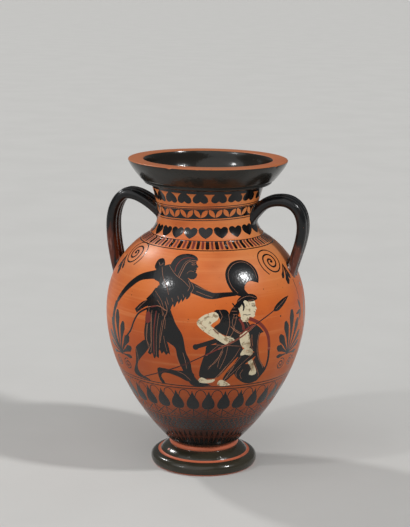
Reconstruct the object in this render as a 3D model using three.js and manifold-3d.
// Neck amphora of fired clay: torus foot, hollow belly, neck, echinus mouth and
// two triple-reeded handles, all fired as one piece.
// Millimetres, +Z up. The origin is the centre of the foot's underside, and the
// handles stand along X.

import * as THREE from 'three';
import { mergeVertices } from 'three/addons/utils/BufferGeometryUtils.js';
import Module from 'manifold-3d';

const wasm = await Module();
wasm.setup();

// Driving dimensions of the vessel
const HEIGHT = 310;
const WALL = 5.5;
const BELLY_RADIUS = 99.3;
const BELLY_Z = 158.6;
const NECK_RADIUS = 48.6;
const NECK_Z = 256;
const NECK_FOOT_Z = 236.2;
const MOUTH_FOOT_Z = 285;
const LIP_RADIUS = 78.4;
const LIP_INNER_RADIUS = 63.9;
const LIP_EDGE = 1;
const REST_INNER = 43.5;
const REST_OUTER = 50.6;
const TORUS_RADIUS = 53.5;
const TORUS_Z = 5.6;
const TORUS_TOP_Z = 12.2;
const FLOOR_Z = 25;
const UNDERSIDE_Z = 16;
const CLEAR = 10;

// The outline from the foot up. Each curve is four control points, [radius, z]
const TORUS_LOW = [[REST_OUTER, 0], [52.6, 0.5], [TORUS_RADIUS, 3], [TORUS_RADIUS, TORUS_Z]];
const TORUS_HIGH = [[TORUS_RADIUS, TORUS_Z], [TORUS_RADIUS, 9.6], [50, TORUS_TOP_Z], [45.6, TORUS_TOP_Z]];
const FOOT_CONE = [[44.2, 12.6], [41.9, 16], [38.4, 18.9], [34.2, 19.8]];
const CLAY_RING = [[34.6, 21.6], [33.5, 23.4]];
const BELLY_LOW = [[34.2, 24], [34.7, 24.5], [BELLY_RADIUS, 85.3], [BELLY_RADIUS, BELLY_Z]];
const BELLY_HIGH = [[BELLY_RADIUS, BELLY_Z], [BELLY_RADIUS, 207.6], [69.4, 229.8], [55.9, NECK_FOOT_Z]];
const NECK_RIDGE = [[56.3, NECK_FOOT_Z + 1]];
const NECK_LOW = [[54.8, 238.4], [51.5, 243], [NECK_RADIUS, 248.4], [NECK_RADIUS, NECK_Z]];
const NECK_HIGH = [[NECK_RADIUS, NECK_Z], [NECK_RADIUS, 263], [52, 273], [55.4, MOUTH_FOOT_Z]];
const MOUTH_MOULDING = [[60.4, 286], [63.4, 287.8], [62.4, 289.8]];
const ECHINUS = [[66, 290.6], [70, 295.5], [76.6, 303], [LIP_RADIUS, HEIGHT - LIP_EDGE]];

// Where the hollow inside leaves the offset outline
const BOWL_START = 0.16;
const FLOOR_PULLS = [[16, FLOOR_Z], [27, FLOOR_Z + 3]];
const THROAT = [[44.5, 236], [43.2, 246], [42.6, 262], [47, 276]];
const MOUTH_INSIDE = [[48.8, 281], [53.5, 289], [61.5, 292], [62.7, HEIGHT - 4]];
const UNDERSIDE = [[REST_INNER, 0], [42.5, 10], [30, UNDERSIDE_Z], [0, UNDERSIDE_Z]];

// Handles: control points [x, z] of each centre line, from the neck over the crown
// and the reach to the shoulder. The two were rolled by hand and differ a little.
const REACH = 96.2;
const RIGHT_ROUTE = {
  neck: [[44, 252.5], [51.8, 260.4], [56, 272.2]],
  crown: [[74.6, 272.2], [87.9, 272.2], [REACH, 261.6]],
  reach: [[REACH, 246.5], [REACH, 231], [88.4, 214]],
  shoulder: [83.5, 194],
};
const LEFT_ROUTE = {
  neck: [[44, 252.8], [53.6, 262.6], [67.5, 272.4]],
  crown: [[79, 272.4], [88.2, 272.4], [REACH, 258.6]],
  reach: [[REACH, 241], [REACH, 227], [93.8, 212]],
  shoulder: [88, 189],
};

// Handle section: three reeds side by side
const MIDDLE_REED = 5.8;
const SIDE_REED = 5.3;
const SIDE_REED_OFFSET = 8.6;

// How finely round surfaces are cut into facets
const TURN_SEGMENTS = 44;
const HANDLE_STEPS = 21;
const REED_SEGMENTS = 3;

/** A [radius, z] pair as a profile point. */
const point = ([r, z]) => new THREE.Vector2(r, z);

/** Points along the profile curve with these four control points. */
function along(controls, steps) {
  return new THREE.CubicBezierCurve(...controls.map(point)).getPoints(steps);
}

/** Points of a curve moved towards the inside of the vessel by the wall. */
function innerPoints(controls, steps, firstT = 0) {
  const outer = new THREE.CubicBezierCurve(...controls.map(point));
  const points = [];
  for (let i = 0; i <= steps; i += 1) {
    const t = firstT + (1 - firstT) * (i / steps);
    const tangent = outer.getTangent(t);
    const inward = new THREE.Vector2(-tangent.y, tangent.x).multiplyScalar(WALL);
    points.push(outer.getPoint(t).add(inward));
  }
  return points;
}

/** A closed manifold solid from a three.js geometry. */
function solidOf(geometry) {
  geometry.deleteAttribute('normal');
  geometry.deleteAttribute('uv');
  const merged = mergeVertices(geometry, 1e-4);
  const index = merged.index.array;
  const kept = [];
  for (let i = 0; i < index.length; i += 3) {
    const [a, b, c] = index.slice(i, i + 3);
    if (a !== b && b !== c && c !== a) {
      kept.push(a, b, c);
    }
  }
  const vertProperties = merged.attributes.position.array;
  return new wasm.Manifold(new wasm.Mesh({ numProp: 3, vertProperties, triVerts: new Uint32Array(kept) }));
}

/** The solid turned from a profile that starts and ends on the axis, bottom first. */
function turned(profile) {
  const geometry = new THREE.LatheGeometry(profile, TURN_SEGMENTS);
  geometry.rotateX(Math.PI / 2);
  return solidOf(geometry);
}

/** The outline of the vessel without its handles, filled solid. */
function outerProfile() {
  return [
    point([0, 0]),
    ...along(TORUS_LOW, 3),
    ...along(TORUS_HIGH, 4).slice(1),
    ...along(FOOT_CONE, 3),
    ...CLAY_RING.map(point),
    ...along(BELLY_LOW, 13),
    ...along(BELLY_HIGH, 9).slice(1),
    ...NECK_RIDGE.map(point),
    ...along(NECK_LOW, 3),
    ...along(NECK_HIGH, 4).slice(1),
    ...MOUTH_MOULDING.map(point),
    ...along(ECHINUS, 5),
    point([LIP_RADIUS - LIP_EDGE, HEIGHT]),
    point([0, HEIGHT]),
  ];
}

/** The hollow inside, from the floor up past the lip. */
function hollowProfile() {
  const bowl = innerPoints(BELLY_LOW, 8, BOWL_START);
  const shoulder = innerPoints(BELLY_HIGH, 6).slice(1, -1);
  const floor = along([[0, FLOOR_Z], ...FLOOR_PULLS, bowl[0].toArray()], 3);
  return [
    ...floor.slice(0, -1),
    ...bowl,
    ...shoulder,
    ...along(THROAT, 4),
    ...along(MOUTH_INSIDE, 4),
    point([LIP_INNER_RADIUS, HEIGHT]),
    point([LIP_INNER_RADIUS, HEIGHT + CLEAR]),
    point([0, HEIGHT + CLEAR]),
  ];
}

/** The hollow under the foot, from below the resting ring up to its apex. */
function undersideProfile() {
  return [
    point([0, -CLEAR]),
    point([REST_INNER, -CLEAR]),
    ...along(UNDERSIDE, 4),
  ];
}

/** The section of a handle: three reeds side by side across Y. */
function reededSection() {
  const valley = (SIDE_REED_OFFSET ** 2 + MIDDLE_REED ** 2 - SIDE_REED ** 2) / (2 * SIDE_REED_OFFSET);
  const middleAngle = Math.acos(valley / MIDDLE_REED);
  const sideAngle = Math.acos((valley - SIDE_REED_OFFSET) / SIDE_REED);
  const section = new THREE.Shape();
  section.absarc(SIDE_REED_OFFSET, 0, SIDE_REED, -sideAngle, sideAngle, false);
  section.absarc(0, 0, MIDDLE_REED, middleAngle, Math.PI - middleAngle, false);
  section.absarc(-SIDE_REED_OFFSET, 0, SIDE_REED, Math.PI - sideAngle, Math.PI + sideAngle, false);
  section.absarc(0, 0, MIDDLE_REED, Math.PI + middleAngle, 2 * Math.PI - middleAngle, false);
  return section;
}

/** One handle, its ends buried in the neck and the shoulder. */
function handle(side, { neck, crown, reach, shoulder }) {
  const at = ([x, z]) => new THREE.Vector3(side * x, 0, z);
  const route = new THREE.CurvePath();
  route.add(new THREE.CubicBezierCurve3(...neck.map(at), at(crown[0])));
  route.add(new THREE.CubicBezierCurve3(...crown.map(at), at(reach[0])));
  route.add(new THREE.CubicBezierCurve3(...reach.map(at), at(shoulder)));
  const geometry = new THREE.ExtrudeGeometry(reededSection(), {
    extrudePath: route,
    steps: HANDLE_STEPS,
    curveSegments: REED_SEGMENTS,
    bevelEnabled: false,
  });
  return solidOf(geometry);
}

/** A three.js geometry from a manifold solid. */
function geometryOf(solid) {
  const mesh = solid.getMesh();
  const geometry = new THREE.BufferGeometry();
  geometry.setAttribute('position', new THREE.BufferAttribute(mesh.vertProperties, 3));
  geometry.setIndex(new THREE.BufferAttribute(mesh.triVerts, 1));
  geometry.computeVertexNormals();
  return geometry;
}

const vessel = turned(outerProfile())
  .add(handle(1, RIGHT_ROUTE))
  .add(handle(-1, LEFT_ROUTE))
  .subtract(turned(hollowProfile()))
  .subtract(turned(undersideProfile()));

const paintedClay = new THREE.MeshStandardMaterial({ color: 0xbe5a2d, roughness: 0.4, metalness: 0 });
const amphora = new THREE.Mesh(geometryOf(vessel), paintedClay);
amphora.name = 'amphora';

const part = new THREE.Group();
part.add(amphora);

export default part;
